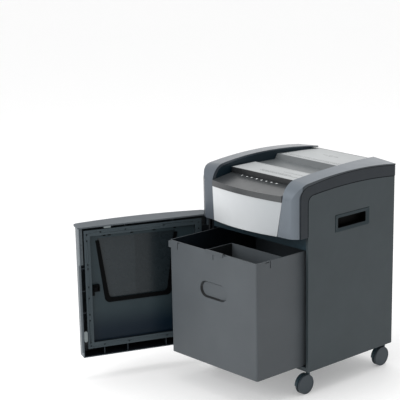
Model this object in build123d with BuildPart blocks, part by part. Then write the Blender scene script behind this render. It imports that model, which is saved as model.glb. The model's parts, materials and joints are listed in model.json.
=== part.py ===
"""Cross-cut paper shredder on casters, with its door open and its bin drawn out.

Origin: on the floor, under the middle of the cabinet. +Z is up, the front faces -Y, +X is the
right-hand side seen from the front. Millimetres.
"""

import math
import os

from build123d import *

os.makedirs("parts", exist_ok=True)

# ---------------------------------------------------------------- driving dimensions
WIDTH = 410.0  # cabinet, outside to outside
HALF = WIDTH / 2
PANEL = 9.0  # side, back and bottom boards of the cabinet
INNER = HALF - PANEL  # inside face of each side panel
FRONT_Y = -186.0  # front edge of the side panels
BACK_Y = 186.0
BASE_Z = 73.5  # underside of the cabinet, above the floor
FLOOR_T = 15.0  # base board
HEAD_Z = BASE_Z + 411.0  # underside of the head, above the door
BIN_W = 370.0
BIN_D = 352.0
BIN_H = 349.0
BIN_OUT = 189.0  # how far the bin is drawn out as modelled
BIN_FRONT_Y = -183.0 - BIN_OUT
DOOR_ANGLE = 111.0  # how far the door is open as modelled
HINGE_X = -208.0
HINGE_Y = -192.0
SLOT_Y = -54.0  # centre line of the paper slot
CUTTER_GAP = 44.0  # between the two cutter shafts
CUTTER_Z = BASE_Z + 470.0
DISC_R = 26.0
DISC_T = 4.4
DISC_PITCH = 10.0
DISCS = 22
WHEEL_R = 30.0
CASTER_X = 179.0
CASTER_FRONT_Y = -159.6
CASTER_REAR_Y = 177.0
TRAIL = 16.0  # wheel axle behind the swivel axis
STEM_R = 5.0


def save(part, name):
    """Names one finished piece and writes its STEP file."""
    part.label = name
    export_step(part, f"parts/{name}.step")


def side_view(x):
    """A plane seen from the right: its x is the object's Y, its y the height over the underside."""
    return Plane(origin=(x, 0, BASE_Z), x_dir=(0, 1, 0), z_dir=(1, 0, 0))


def across(x, y, z):
    """An upright plane facing +X, with its own x along Y, at any point."""
    return Plane(origin=(x, y, z), x_dir=(0, 1, 0), z_dir=(1, 0, 0))


def level(z):
    """A level plane, z above the cabinet's underside."""
    return Plane.XY.offset(BASE_Z + z)


def front_view(y):
    """A plane seen from the front: its x is the object's X, its y the height over the underside."""
    return Plane(origin=(0, y, BASE_Z), x_dir=(1, 0, 0), z_dir=(0, -1, 0))


# ---------------------------------------------------------------- cabinet
HANDLE_Y = 0.0
HANDLE_Z = 430.0
HANDLE_W = 146.0
HANDLE_H = 51.0


def side_panel(sign, name):
    """Side board with a rounded front top corner, a domed top and the window for the handle."""
    with BuildPart() as panel:
        with BuildSketch(side_view(INNER)):
            with BuildLine():
                Line((FRONT_Y, 0), (FRONT_Y, 510.6))
                ThreePointArc((FRONT_Y, 510.6), (-179, 526.6), (-163, 532.6))
                ThreePointArc((-163, 532.6), (0, 540.6), (BACK_Y, 530.6))
                Polyline((BACK_Y, 530.6), (BACK_Y, 0), (FRONT_Y, 0))
            make_face()
            with Locations((HANDLE_Y, HANDLE_Z)):
                RectangleRounded(HANDLE_W + 0.6, HANDLE_H + 0.6, 6.3, mode=Mode.SUBTRACT)
        extrude(amount=PANEL)
    board = panel.part
    if sign < 0:
        board = mirror(board, about=Plane.YZ)
    save(board, name)


def handle_cup():
    """Finger cup of the right side panel: a bevelled frame round a deep pocket that is closed behind."""
    with BuildPart() as cup:
        with BuildSketch(side_view(HALF - 29)):
            with Locations((HANDLE_Y, HANDLE_Z)):
                RectangleRounded(HANDLE_W, HANDLE_H, 6)
        extrude(amount=30)
        with BuildSketch(side_view(HALF + 1)):
            with Locations((HANDLE_Y, HANDLE_Z)):
                RectangleRounded(HANDLE_W - 4, HANDLE_H - 4, 5)
        with BuildSketch(side_view(HALF - 2.5)):
            with Locations((HANDLE_Y, HANDLE_Z)):
                RectangleRounded(119, 30, 4)
        loft(mode=Mode.SUBTRACT)
        with BuildSketch(side_view(HALF - 26)):
            with Locations((HANDLE_Y, HANDLE_Z)):
                RectangleRounded(119, 30, 4)
        extrude(amount=24, mode=Mode.SUBTRACT)
    return cup.part


for side_sign, side_name in ((-1, "left"), (1, "right")):
    side_panel(side_sign, f"side_panel_{side_name}")

right_cup = handle_cup()
with BuildPart() as handle_cups:
    add(right_cup)
    mirror(right_cup, about=Plane.YZ)
save(handle_cups.part, "handle_cups")

with BuildPart() as base_plate:
    with BuildSketch(level(0)):
        Rectangle(2 * INNER - 0.2, BACK_Y - FRONT_Y)
    extrude(amount=FLOOR_T)
    front_edges = base_plate.edges().filter_by(Axis.X).group_by(Axis.Y)[0]
    chamfer(front_edges, 2)
    for x in (-CASTER_X, CASTER_X):
        for y in (CASTER_FRONT_Y, CASTER_REAR_Y):
            with Locations((x, y, BASE_Z)):
                Cylinder(STEM_R + 0.05, 40, mode=Mode.SUBTRACT)
save(base_plate.part, "base_plate")

with BuildPart() as glides:
    with BuildSketch(level(FLOOR_T)):
        with Locations((-120, -5), (120, -5)):
            SlotOverall(340, 18, rotation=90)
    extrude(amount=2.2)
save(glides.part, "bin_glide_strips")

VENT_ROWS = 7
INLET_X = -140.0
INLET_Z = 430.0
SWITCH_X = -95.0
SCREWS = [(x, z) for x in (-188.0, 188.0) for z in (30.0, 270.0, 510.0)] + [(-60.0, 40.0), (60.0, 40.0)]
with BuildPart() as back_panel:
    with BuildSketch(front_view(BACK_Y)):
        with Locations((0, (FLOOR_T + 530.6) / 2)):
            Rectangle(2 * INNER - 0.2, 530.6 - FLOOR_T - 0.2)
        with Locations((60, 450)):
            with GridLocations(0, 9, 1, VENT_ROWS):
                SlotOverall(90, 4, mode=Mode.SUBTRACT)
        with Locations((INLET_X, INLET_Z)):
            Rectangle(28.4, 20.4, mode=Mode.SUBTRACT)
        with Locations((SWITCH_X, INLET_Z)):
            Rectangle(13.4, 19.4, mode=Mode.SUBTRACT)
    extrude(amount=PANEL)
    # shallow seats that keep the inlet, the switch and the screw heads flush
    with BuildSketch(front_view(BACK_Y)):
        with Locations((INLET_X, INLET_Z)):
            RectangleRounded(50.6, 24.6, 3.3)
        with Locations((SWITCH_X, INLET_Z)):
            RectangleRounded(17.6, 24.6, 2.3)
        with Locations(SCREWS):
            Circle(4.3)
    extrude(amount=2.4, mode=Mode.SUBTRACT)
save(back_panel.part, "back_panel")

with BuildPart() as front_bar:
    with BuildSketch(side_view(-INNER + 0.1)):
        with BuildLine():
            Polyline(
                (FRONT_Y, 371),
                (FRONT_Y, 410.6),
                (-160, 410.6),
                (-160, 408.6),
                (FRONT_Y + 2, 408.6),
                (FRONT_Y + 2, 373),
                (-170, 373),
                (-170, 371),
                (FRONT_Y, 371),
            )
        make_face()
    extrude(amount=2 * INNER - 0.2)
save(front_bar.part, "front_bar")

SHELF_Z = 386.0
OUTLET_W = 2 * 125.0
with BuildPart() as shelf:
    with BuildSketch(level(SHELF_Z)):
        with Locations((0, (-165 + 176.8) / 2)):
            Rectangle(2 * INNER - 0.2, 165 + 176.8)
        with Locations((0, SLOT_Y)):
            Rectangle(OUTLET_W, 98, mode=Mode.SUBTRACT)
    extrude(amount=3)
save(shelf.part, "mechanism_shelf")

# ---------------------------------------------------------------- head shell
PILLAR_Y = -234.0  # front face of the head's corner pillars
EDGE_X_LOW = 134.0  # inner edge of a pillar at the bottom
EDGE_X_HIGH = 148.0  # and at the shoulder


def control_height(y):
    """Height of the sloping control surface, over the cabinet's underside."""
    return 529.0 + 0.15 * (y + 250.0)


def head_side(sign, name):
    """Dark cheek: the band between a side panel and the grey rail over it."""
    with BuildPart() as cheek:
        with BuildSketch(side_view(INNER)):
            with BuildLine():
                Line((-216.5, 411), (-216.5, 528))
                ThreePointArc((-216.5, 528), (-207, 549), (-178, 561))
                ThreePointArc((-178, 561), (0, 575.6), (BACK_Y, 563.5))
                Line((BACK_Y, 563.5), (BACK_Y, 531.6))
                ThreePointArc((BACK_Y, 531.6), (0, 541.6), (-163.2, 533.6))
                ThreePointArc((-163.2, 533.6), (-179.4, 527.5), (-186.6, 511))
                Polyline((-186.6, 511), (-186.6, 411), (-216.5, 411))
            make_face()
        extrude(amount=PANEL - 0.3)
    piece = cheek.part
    if sign < 0:
        piece = mirror(piece, about=Plane.YZ)
    save(piece, name)


def rail_profile(front_low, rise):
    """Side outline of a rail: pillar, shoulder and domed top. rise lifts the top towards the middle."""
    with BuildSketch(Plane.XY) as outline:
        with BuildLine():
            Line((front_low, 411), (PILLAR_Y, 520))
            ThreePointArc((PILLAR_Y, 520), (-221, 551 + 0.6 * rise), (-190, 568.5 + rise))
            ThreePointArc((-190, 568.5 + rise), (0, 580.5 + rise), (189, 568.5 + rise))
            Line((189, 568.5 + rise), (189, 564 + rise))
            ThreePointArc((189, 564 + rise), (0, 576 + rise), (-178, 561.5 + rise))
            ThreePointArc((-178, 561.5 + rise), (-207.5, 549.5 + 0.6 * rise), (-217, 528))
            Polyline((-217, 528), (-217, 411), (front_low, 411))
        make_face()
    return outline.sketch


def insert_edge(inset):
    """Plan curve of a rail's inner edge, moved in towards the middle by inset."""
    ThreePointArc((148 - inset, -236), (152 - inset, -50), (116 - inset, 190))


def head_rail(sign, name):
    """Grey rail in one piece with its front pillar, rounded at the front corner."""
    with BuildPart() as rail:
        with BuildSketch(side_view(110)):
            add(rail_profile(-242.0, 8))
        with BuildSketch(side_view(HALF)):
            add(rail_profile(PILLAR_Y, 0))
        loft(ruled=True)
        with BuildSketch(Plane.XY.offset(HEAD_Z - 5)):
            with BuildLine():
                Polyline((HALF, 190), (90, 190), (90, -250), (163, -250), (163, -237.6))
                ThreePointArc((163, -237.6), (193.4, -226), (HALF, -198))
                Line((HALF, -198), (HALF, 190))
            make_face()
        extrude(amount=200, mode=Mode.INTERSECT)
        with BuildSketch(level(522)):
            with BuildLine():
                insert_edge(0)
                Polyline((116, 190), (116, 200), (80, 200), (80, -260), (148, -260), (148, -236))
            make_face()
        extrude(amount=100, mode=Mode.SUBTRACT)
        with BuildSketch(front_view(-210)):
            with BuildLine():
                Polyline((80, 400), (EDGE_X_LOW - 1.5, 400), (EDGE_X_HIGH, 522), (80, 522), (80, 400))
            make_face()
        extrude(amount=60, mode=Mode.SUBTRACT)
    piece = rail.part
    if sign < 0:
        piece = mirror(piece, about=Plane.YZ)
    save(piece, name)


def inner_wall():
    """Dark wall under the right rail's inner edge, beside the lower middle of the head."""
    with BuildPart() as wall:
        with BuildSketch(level(500)):
            with BuildLine():
                insert_edge(0.4)
                Line((115.6, 190), (112.8, 190))
                insert_edge(3.2)
                Line((144.8, -236), (147.6, -236))
            make_face()
        extrude(amount=90)
        with BuildSketch(side_view(100)):
            with BuildLine():
                Line((-216, 519), (-216, 530))
                ThreePointArc((-216, 530), (-206, 553), (-178, 565))
                ThreePointArc((-178, 565), (0, 581.5), (178.5, 570))
                Polyline((178.5, 570), (178.5, 534), (-40, 534), (-40, 519), (-216, 519))
            make_face()
        extrude(amount=60, mode=Mode.INTERSECT)
    return wall.part


for side_sign, side_name in ((-1, "left"), (1, "right")):
    head_side(side_sign, f"head_side_{side_name}")
    head_rail(side_sign, f"head_rail_{side_name}")

right_wall = inner_wall()
with BuildPart() as inner_walls:
    add(right_wall)
    mirror(right_wall, about=Plane.YZ)
save(inner_walls.part, "head_inner_walls")


def bowed_strip(half_width, y_end, y_middle, thickness):
    """Plan of a bowed front plate: two arcs, thickness apart, joined at the ends."""
    y_end_in, y_middle_in = y_end + thickness, y_middle + thickness
    with BuildSketch(Plane.XY) as outline:
        with BuildLine():
            ThreePointArc((-half_width, y_end), (0, y_middle), (half_width, y_end))
            Line((half_width, y_end), (half_width, y_end_in))
            ThreePointArc((half_width, y_end_in), (0, y_middle_in), (-half_width, y_end_in))
            Line((-half_width, y_end_in), (-half_width, y_end))
        make_face()
    return outline.sketch


with BuildPart() as front_panel:
    with BuildSketch(level(411.5)):
        add(bowed_strip(EDGE_X_LOW - 0.8, -241.8, -257.5, 3))
    with BuildSketch(level(512)):
        add(bowed_strip(EDGE_X_HIGH - 1.6, -234.7, -244.5, 3))
    loft()
save(front_panel.part, "front_panel")

BAND_DEPTH = 10.0
INSERT_HALF = 144.2
BUTTON_X = (-90.0, -69.1, -48.2)
LAMP_X = (-27.3, -6.4, 14.5, 35.4, 56.3)
ICON_Y = -166.0
ICON_SIZE = 8.0
CONTROL_PLANE = Plane(
    origin=(0, ICON_Y, BASE_Z + control_height(ICON_Y)), x_dir=(1, 0, 0), z_dir=(0, -0.15, 1)
)

with BuildPart() as sloping_face:
    with BuildSketch(level(480)):
        with BuildLine():
            ThreePointArc((-INSERT_HALF, -231), (0, -243), (INSERT_HALF, -231))
            Polyline((INSERT_HALF, -231), (INSERT_HALF, -128), (-INSERT_HALF, -128), (-INSERT_HALF, -231))
        make_face()
    extrude(amount=80)
    with BuildSketch(side_view(-160)):
        with BuildLine():
            Polyline(
                (-260, control_height(-260)),
                (-100, control_height(-100)),
                (-100, control_height(-100) - 3),
                (-260, control_height(-260) - 3),
                (-260, control_height(-260)),
            )
        make_face()
    extrude(amount=320, mode=Mode.INTERSECT)

with BuildPart() as control_panel:
    # the band across the front, cut to the slope
    with BuildSketch(level(512.4)):
        add(bowed_strip(EDGE_X_HIGH - 1.8, -235.5, -248, BAND_DEPTH))
    extrude(amount=30)
    with BuildSketch(side_view(-160)):
        with BuildLine():
            Polyline(
                (-280, control_height(-280)),
                (-200, control_height(-200)),
                (-200, 600),
                (-280, 600),
                (-280, control_height(-280)),
            )
        make_face()
    extrude(amount=320, mode=Mode.SUBTRACT)
    chamfer(control_panel.edges().group_by(Axis.Z)[-1].group_by(Axis.Y)[0], 1.5)
    add(sloping_face.part)
    with BuildSketch(CONTROL_PLANE.offset(-10)):
        with Locations([(x, 0) for x in BUTTON_X]):
            RectangleRounded(ICON_SIZE + 0.6, ICON_SIZE + 0.6, 2)
        with Locations([(x, 0) for x in LAMP_X]):
            RectangleRounded(ICON_SIZE, ICON_SIZE, 1.7)
    extrude(amount=20, mode=Mode.SUBTRACT)
save(control_panel.part, "control_panel")

with BuildPart() as lamps:
    with BuildSketch(CONTROL_PLANE.offset(-2.8)):
        with Locations([(x, 0) for x in LAMP_X]):
            RectangleRounded(ICON_SIZE - 0.3, ICON_SIZE - 0.3, 1.6)
    extrude(amount=2.9)
save(lamps.part, "indicator_lamps")

for button_name, button_x in zip(("power", "reverse", "forward"), BUTTON_X):
    with BuildPart() as button:
        with BuildSketch(CONTROL_PLANE.offset(-6)):
            with Locations((button_x, 0)):
                RectangleRounded(ICON_SIZE - 0.2, ICON_SIZE - 0.2, 1.6)
        extrude(amount=6.4)
    save(button.part, f"{button_name}_button")

with BuildPart() as circuit_board:
    with BuildSketch(CONTROL_PLANE.offset(-14)):
        Rectangle(190, 46)
    extrude(amount=1.6)
    with BuildSketch(CONTROL_PLANE.offset(-12.4)):
        with Locations([(x, 0) for x in BUTTON_X]):
            Rectangle(6, 6)
    extrude(amount=4.6)
    with BuildSketch(CONTROL_PLANE.offset(-12.4)):
        with Locations((75, 0)):
            Rectangle(16, 24)
        with Locations([(x, 0) for x in LAMP_X]):
            Rectangle(3, 3)
    extrude(amount=5)
save(circuit_board.part, "circuit_board")

DECK_Z = 560.0
with BuildPart() as deck:
    with BuildSketch(side_view(-INSERT_HALF)):
        with BuildLine():
            Polyline(
                (-158.5, control_height(-158.5) + 0.3),
                (-158.5, DECK_Z - 0.8),
                (-157.7, DECK_Z),
                (-60, DECK_Z),
                (-60, 540),
                (-62.5, 540),
                (-62.5, DECK_Z - 3),
                (-155.5, DECK_Z - 3),
                (-155.5, control_height(-155.5) + 0.3),
                (-158.5, control_height(-158.5) + 0.3),
            )
        make_face()
    extrude(amount=2 * INSERT_HALF)
save(deck.part, "front_deck")

SLOT_HALF = 115.0
THROAT_HALF = 143.4
with BuildPart() as throat:
    with BuildSketch(side_view(-THROAT_HALF)):
        with BuildLine():
            Polyline((-59.7, 504), (-59.7, 556), (-46, 551.6), (-46, 504), (-59.7, 504))
        make_face()
    extrude(amount=2 * THROAT_HALF)
    with BuildSketch(level(500)):
        with Locations((0, SLOT_Y)):
            Rectangle(2 * SLOT_HALF, 6)
    extrude(amount=70, mode=Mode.SUBTRACT)
    with BuildSketch(side_view(-SLOT_HALF)):
        with BuildLine():
            Polyline((-57, 530), (-58.7, 560), (-47, 560), (-51, 530), (-57, 530))
        make_face()
    extrude(amount=2 * SLOT_HALF, mode=Mode.SUBTRACT)
save(throat.part, "feed_throat")

with BuildPart() as hood:
    with BuildSketch(side_view(-INNER)):
        with BuildLine():
            Polyline(
                (-45.6, 540),
                (-45.6, 555),
                (22, 555),
                (31, 571.5),
                (185.8, 569),
                (185.8, 566),
                (33, 568.5),
                (24, 552),
                (-42.6, 552),
                (-42.6, 540),
                (-45.6, 540),
            )
        make_face()
    extrude(amount=2 * INNER)
    with BuildSketch(level(500)):
        with BuildLine():
            insert_edge(3.7)
            Line((112.3, 190), (-112.3, 190))
            ThreePointArc((-112.3, 190), (-148.3, -50), (-144.3, -236))
            Line((-144.3, -236), (144.3, -236))
        make_face()
    extrude(amount=100, mode=Mode.INTERSECT)
save(hood.part, "rear_hood")

LABEL_T = 0.3
HOOD_DROP = 2.5 / 154.8
HOOD_PLANE = Plane(
    origin=(0, 106, BASE_Z + 571.5 - 75 * HOOD_DROP), x_dir=(1, 0, 0), z_dir=(0, HOOD_DROP, 1)
)
with BuildPart() as labels:
    with BuildSketch(level(DECK_Z)):
        with Locations((0, -110.5)):
            RectangleRounded(280, 93, 2)
    extrude(amount=LABEL_T)
    with BuildSketch(HOOD_PLANE):
        Polygon((-128, -72), (128, -72), (121, 30), (107, 79), (-107, 79), (-121, 30), align=None)
    extrude(amount=LABEL_T)
save(labels.part, "guide_labels")

with BuildPart() as rear_cover:
    with BuildSketch(front_view(189)):
        Polygon(
            (-204.5, 531.8),
            (204.5, 531.8),
            (204.5, 563.3),
            (114, 569.5),
            (-114, 569.5),
            (-204.5, 563.3),
            align=None,
        )
        with Locations((0, 550)):
            with GridLocations(12, 0, 13, 1):
                SlotOverall(22, 5, rotation=90, mode=Mode.SUBTRACT)
    extrude(amount=2.7)
save(rear_cover.part, "rear_cover")

# ---------------------------------------------------------------- cutting mechanism
PLATE_X = 122.0  # inside face of each cutter side plate
PLATE_T = 6.0
FRONT_SHAFT_Y = SLOT_Y - CUTTER_GAP / 2
REAR_SHAFT_Y = SLOT_Y + CUTTER_GAP / 2
SHAFT_R = 8.0
CORE_R = 14.0
BEARING_R = 15.0
SYNC_X = 131.0
MAIN_X = 144.0
FIRST_X = 156.0
GEAR_T = 8.0


def gear_outline(module, teeth, turn=0.0, slack=0.12):
    """Closed outline of an involute spur gear. turn puts a tooth's middle at that angle, in degrees."""
    pitch_r = module * teeth / 2
    base_r = pitch_r * math.cos(math.radians(20))
    tip_r = pitch_r + 0.95 * module
    root_r = pitch_r - 1.25 * module
    half_tooth = math.pi / (2 * teeth) - slack / pitch_r
    roll_pitch = math.sqrt((pitch_r / base_r) ** 2 - 1)
    involute_pitch = roll_pitch - math.atan(roll_pitch)
    points = []
    for tooth in range(teeth):
        middle = math.radians(turn) + 2 * math.pi * tooth / teeth
        flank = []
        for step in range(4):
            radius = max(base_r, root_r) + (tip_r - max(base_r, root_r)) * step / 3
            roll = math.sqrt(max((radius / base_r) ** 2 - 1, 0))
            flank.append((radius, half_tooth + involute_pitch - (roll - math.atan(roll))))
        flank.insert(0, (root_r, flank[0][1]))
        for radius, angle in flank:
            points.append((radius * math.cos(middle - angle), radius * math.sin(middle - angle)))
        for radius, angle in reversed(flank):
            points.append((radius * math.cos(middle + angle), radius * math.sin(middle + angle)))
    return points


def spur_gear(x, y, z, module, teeth, thickness, bore_r, turn=0.0):
    """A spur gear with its axis along X and its left face at x."""
    with BuildPart() as gear:
        with BuildSketch(across(x, y, z)):
            Polygon(*gear_outline(module, teeth, turn), align=None)
            if bore_r:
                Circle(bore_r, mode=Mode.SUBTRACT)
        extrude(amount=thickness)
    return gear.part


def rod(x_from, x_to, y, z, radius, mode=Mode.ADD):
    """Adds a round bar along X to the piece being built, or bores one out of it."""
    with Locations(Location(((x_from + x_to) / 2, y, z), (0, 90, 0))):
        Cylinder(radius, x_to - x_from, mode=mode)


def cutter(y, first_disc_x, shaft_end, turn, name):
    """One cutter shaft with its row of toothed discs."""
    with BuildPart() as shaft:
        rod(-PLATE_X - PLATE_T - 4, shaft_end, y, CUTTER_Z, SHAFT_R)
        rod(-PLATE_X + 0.6, PLATE_X - 0.6, y, CUTTER_Z, CORE_R)
        for disc in range(DISCS):
            x = first_disc_x + disc * DISC_PITCH
            with BuildSketch(across(x, y, CUTTER_Z)):
                Circle(DISC_R)
                with PolarLocations(DISC_R, 5, start_angle=turn + 7 * disc):
                    with Locations(Rot(0, 0, 35)):
                        Rectangle(7, 6, mode=Mode.SUBTRACT)
            extrude(amount=DISC_T)
    save(shaft.part, name)


FIRST_DISC_X = -109.7
cutter(FRONT_SHAFT_Y, FIRST_DISC_X - 2.5, SYNC_X + GEAR_T + 1, 0, "cutter_shaft_front")
cutter(REAR_SHAFT_Y, FIRST_DISC_X + 2.5, MAIN_X + GEAR_T + 1, 30, "cutter_shaft_rear")

SYNC_MODULE = 2.0
SYNC_TEETH = 22
MAIN_TEETH = 44
PINION_TEETH = 16
FIRST_MODULE = 1.25
FIRST_TEETH = 56
MOTOR_TEETH = 14
MAIN_CENTRES = SYNC_MODULE * (MAIN_TEETH + PINION_TEETH) / 2
FIRST_CENTRES = FIRST_MODULE * (FIRST_TEETH + MOTOR_TEETH) / 2
MAIN_SLOPE = math.degrees(math.asin(21.54 / MAIN_CENTRES))
LAY_Y = REAR_SHAFT_Y + MAIN_CENTRES * math.cos(math.radians(MAIN_SLOPE))
LAY_Z = CUTTER_Z - MAIN_CENTRES * math.sin(math.radians(MAIN_SLOPE))
MOTOR_Y = LAY_Y + FIRST_CENTRES
MOTOR_Z = LAY_Z

sync_gear = spur_gear(SYNC_X, FRONT_SHAFT_Y, CUTTER_Z, SYNC_MODULE, SYNC_TEETH, GEAR_T, SHAFT_R)
save(sync_gear, "front_shaft_gear")

SYNC_TURN = 180 + 180 / SYNC_TEETH
with BuildPart() as rear_gears:
    add(spur_gear(MAIN_X, REAR_SHAFT_Y, CUTTER_Z, SYNC_MODULE, MAIN_TEETH, GEAR_T, SHAFT_R, -MAIN_SLOPE))
    with BuildSketch(across(MAIN_X, REAR_SHAFT_Y, CUTTER_Z)):
        with PolarLocations(25, 6):
            Circle(7)
    extrude(amount=GEAR_T, mode=Mode.SUBTRACT)
    add(spur_gear(SYNC_X, REAR_SHAFT_Y, CUTTER_Z, SYNC_MODULE, SYNC_TEETH, GEAR_T, SHAFT_R, SYNC_TURN))
save(rear_gears.part, "rear_shaft_gears")

PINION_TURN = 180 - MAIN_SLOPE + 180 / PINION_TEETH
with BuildPart() as lay_gear:
    add(spur_gear(MAIN_X, LAY_Y, LAY_Z, SYNC_MODULE, PINION_TEETH, FIRST_X - MAIN_X, 0, PINION_TURN))
    add(spur_gear(FIRST_X, LAY_Y, LAY_Z, FIRST_MODULE, FIRST_TEETH, GEAR_T, 0, 0))
    rod(MAIN_X - 1, FIRST_X + GEAR_T + 1, LAY_Y, LAY_Z, 5.06, Mode.SUBTRACT)
save(lay_gear.part, "lay_gear")

MOTOR_R = 40.0
MOTOR_L = 128.0
with BuildPart() as rotor:
    rod(PLATE_X - 16, FIRST_X + GEAR_T, MOTOR_Y, MOTOR_Z, 4)
    add(spur_gear(FIRST_X, MOTOR_Y, MOTOR_Z, FIRST_MODULE, MOTOR_TEETH, GEAR_T, 0, 180 + 180 / MOTOR_TEETH))
save(rotor.part, "motor_shaft")

with BuildPart() as motor:
    rod(PLATE_X - MOTOR_L, PLATE_X, MOTOR_Y, MOTOR_Z, MOTOR_R)
    chamfer(motor.edges().filter_by(GeomType.CIRCLE).sort_by(Axis.X)[0], 5)
    with BuildSketch(across(PLATE_X - MOTOR_L + 25, MOTOR_Y, MOTOR_Z)):
        with PolarLocations(MOTOR_R, 12):
            Rectangle(4, 4)
    extrude(amount=MOTOR_L - 50, mode=Mode.SUBTRACT)
    rod(PLATE_X - 17, PLATE_X + 1, MOTOR_Y, MOTOR_Z, 4.05, Mode.SUBTRACT)
save(motor.part, "motor")

with BuildPart() as capacitor:
    rod(-120, -50, 70, BASE_Z + 412, 20)
    with BuildSketch(side_view(-125)):
        with Locations((70, 400)):
            Rectangle(46, 21.8)
    extrude(amount=5)
save(capacitor.part, "run_capacitor")

with BuildPart() as side_plates:
    for x, y_back in ((-PLATE_X - PLATE_T, 10), (PLATE_X, 118)):
        with BuildSketch(side_view(x)):
            with BuildLine():
                Polyline(
                    (-108, SHELF_Z + 3),
                    (-108, 500),
                    (-20, 500),
                    (y_back, 492),
                    (y_back, SHELF_Z + 3),
                    (-108, SHELF_Z + 3),
                )
            make_face()
        extrude(amount=PLATE_T)
    for y in (FRONT_SHAFT_Y, REAR_SHAFT_Y):
        rod(-PLATE_X - PLATE_T - 1, PLATE_X + PLATE_T + 1, y, CUTTER_Z, BEARING_R, Mode.SUBTRACT)
    rod(PLATE_X - 1, PLATE_X + PLATE_T + 1, MOTOR_Y, MOTOR_Z, 4.6, Mode.SUBTRACT)
    rod(PLATE_X - 1, PLATE_X + PLATE_T + 1, LAY_Y, LAY_Z, 5, Mode.SUBTRACT)
save(side_plates.part, "cutter_side_plates")

with BuildPart() as bearings:
    for x in (-PLATE_X - PLATE_T, PLATE_X):
        for y in (FRONT_SHAFT_Y, REAR_SHAFT_Y):
            rod(x, x + PLATE_T, y, CUTTER_Z, BEARING_R)
    for y in (FRONT_SHAFT_Y, REAR_SHAFT_Y):
        rod(-PLATE_X - PLATE_T - 1, PLATE_X + PLATE_T + 1, y, CUTTER_Z, SHAFT_R + 0.05, Mode.SUBTRACT)
save(bearings.part, "shaft_bearings")

with BuildPart() as tie_rods:
    for y, z in ((-104, 437), (-4, 437), (-104, 493), (-4, 494)):
        rod(-PLATE_X, PLATE_X, y, BASE_Z + z, 3.5)
    # the stud that carries the lay gear
    rod(PLATE_X, FIRST_X + GEAR_T + 3, LAY_Y, LAY_Z, 5)
    rod(PLATE_X + PLATE_T, MAIN_X - 0.5, LAY_Y, LAY_Z, 9)
save(tie_rods.part, "tie_rods")

FINGER_T = 4.0
with BuildPart() as combs:
    for bar_y, finger_y, first_x in (
        (FRONT_SHAFT_Y - 36, FRONT_SHAFT_Y - 24, FIRST_DISC_X - 2.5),
        (REAR_SHAFT_Y + 36, REAR_SHAFT_Y + 24, FIRST_DISC_X + 2.5),
    ):
        with BuildSketch(side_view(-PLATE_X)):
            with Locations((bar_y, 470)):
                Rectangle(4, 40)
        extrude(amount=2 * PLATE_X)
        for finger in range(DISCS - 1):
            x = first_x + finger * DISC_PITCH + DISC_T + (DISC_PITCH - DISC_T - FINGER_T) / 2
            with BuildSketch(side_view(x)):
                with Locations((finger_y, 470)):
                    Rectangle(20, 14)
            extrude(amount=FINGER_T)
save(combs.part, "stripper_combs")

# ---------------------------------------------------------------- mains inlet and rear switch
with BuildPart() as inlet:
    with BuildSketch(front_view(BACK_Y - 0.3)):
        with Locations((INLET_X, INLET_Z)):
            RectangleRounded(50, 24, 3)
    extrude(amount=2)
    with BuildSketch(front_view(BACK_Y - 2.3)):
        with Locations((INLET_X, INLET_Z)):
            Rectangle(28, 20)
    extrude(amount=24)
    with BuildSketch(front_view(BACK_Y + 2)):
        with Locations((INLET_X, INLET_Z)):
            Rectangle(24.4, 16.6)
    extrude(amount=22, mode=Mode.SUBTRACT)
    with BuildSketch(front_view(BACK_Y - 5)):
        with Locations((INLET_X - 7, INLET_Z - 1.5), (INLET_X + 7, INLET_Z - 1.5), (INLET_X, INLET_Z + 2.5)):
            Rectangle(2, 4)
    extrude(amount=17)
save(inlet.part, "power_inlet")

with BuildPart() as switch_frame:
    with BuildSketch(front_view(BACK_Y - 0.3)):
        with Locations((SWITCH_X, INLET_Z)):
            RectangleRounded(17, 24, 2)
    extrude(amount=2)
    with BuildSketch(front_view(BACK_Y - 2.3)):
        with Locations((SWITCH_X, INLET_Z)):
            Rectangle(13, 19)
    extrude(amount=20)
    with BuildSketch(front_view(BACK_Y + 2)):
        with Locations((SWITCH_X, INLET_Z)):
            Rectangle(10.4, 16.4)
    extrude(amount=16.5, mode=Mode.SUBTRACT)
save(switch_frame.part, "switch_frame")

ROCKER_Y = BACK_Y - 6.5
with BuildPart() as rocker:
    with BuildSketch(side_view(SWITCH_X - 4.9)):
        with BuildLine():
            Polyline(
                (ROCKER_Y + 3.5, INLET_Z - 7.3),
                (ROCKER_Y + 5.4, INLET_Z),
                (ROCKER_Y + 3.5, INLET_Z + 7.3),
                (ROCKER_Y - 1, INLET_Z + 6.4),
                (ROCKER_Y - 4, INLET_Z),
                (ROCKER_Y - 1, INLET_Z - 6.4),
                (ROCKER_Y + 3.5, INLET_Z - 7.3),
            )
        make_face()
    extrude(amount=9.8)
save(rocker.part, "rocker_switch")

# ---------------------------------------------------------------- door
DOOR = Plane(
    origin=(HINGE_X, HINGE_Y, BASE_Z),
    x_dir=(math.cos(math.radians(DOOR_ANGLE)), -math.sin(math.radians(DOOR_ANGLE)), 0),
    z_dir=(0, 0, 1),
)
DOOR_LOW = 4.0
DOOR_HIGH = 409.5
DOOR_SKIN = 2.6
DOOR_LEFT = HINGE_X + 3.0
DOOR_RIGHT = 204.5
DOOR_BACK = -188.5
DOOR_FRONT = -240.5  # front face beside the rounded corners
DOOR_CORNER = 17.0
DOOR_CAP = 4.0  # top board of the door
CAP_REACH = 3.5  # how far the top board stands out past the walls
RIM_Y = -202.0  # where the outer skin gives way to the rim


def at_door(x, y):
    """A plan point of the closed door, in the door's own plane, whose origin is the hinge axis."""
    return (x - HINGE_X, y - HINGE_Y)


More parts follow.
